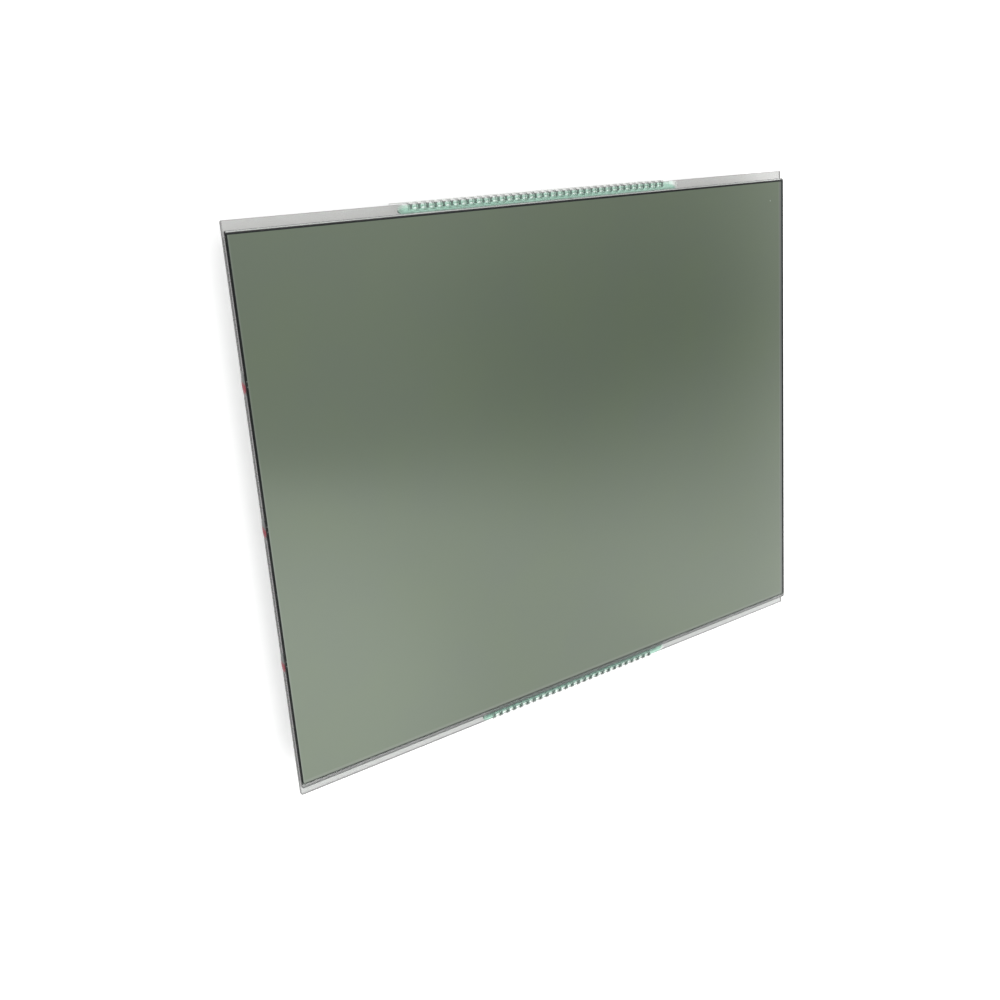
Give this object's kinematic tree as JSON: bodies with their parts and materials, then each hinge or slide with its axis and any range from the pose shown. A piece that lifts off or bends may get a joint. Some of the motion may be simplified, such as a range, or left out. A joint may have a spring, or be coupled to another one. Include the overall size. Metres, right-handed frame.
{
  "type": "pinned segment lcd panel",
  "caption": "Flat glass liquid crystal display panel with clip pins along its top and bottom edges, standing on its pin tips.",
  "frame": {"origin": "centre of the panel at the level of its pin tips, the surface it stands on", "axes": "+X to the viewer's right along the long edge, +Y to the display's top edge, +Z the way the display faces"},
  "size_m": [0.1944, 0.1528, 0.0121],
  "materials": {
    "front_film": "satin anti-glare polarizing film, grey-green",
    "glass": "clear soda-lime glass with cut and seamed edges",
    "liquid_crystal": "clear fluid film",
    "cell_seal": "cured epoxy print",
    "transfer_paste": "silver-filled paste",
    "end_seal": "cured dark red adhesive bead",
    "rear_film": "polarizing film, grey",
    "reflector": "satin silver reflector film",
    "pins": "dull tin-plated sheet metal",
    "pin_resin": "cured clear green adhesive"
  },
  "bodies": {
    "root": {"front_polarizer": "front_film", "front_glass": "glass", "liquid_crystal": "liquid_crystal", "perimeter_seal": "cell_seal", "transfer_dots": "transfer_paste", "end_seal_upper": "end_seal", "end_seal_middle": "end_seal", "end_seal_lower": "end_seal", "rear_glass": "glass", "rear_polarizer": "rear_film", "reflector": "reflector", "top_pins": "pins", "bottom_pins": "pins", "top_pin_resin": "pin_resin", "bottom_pin_resin": "pin_resin"}
  },
  "joints": []
}
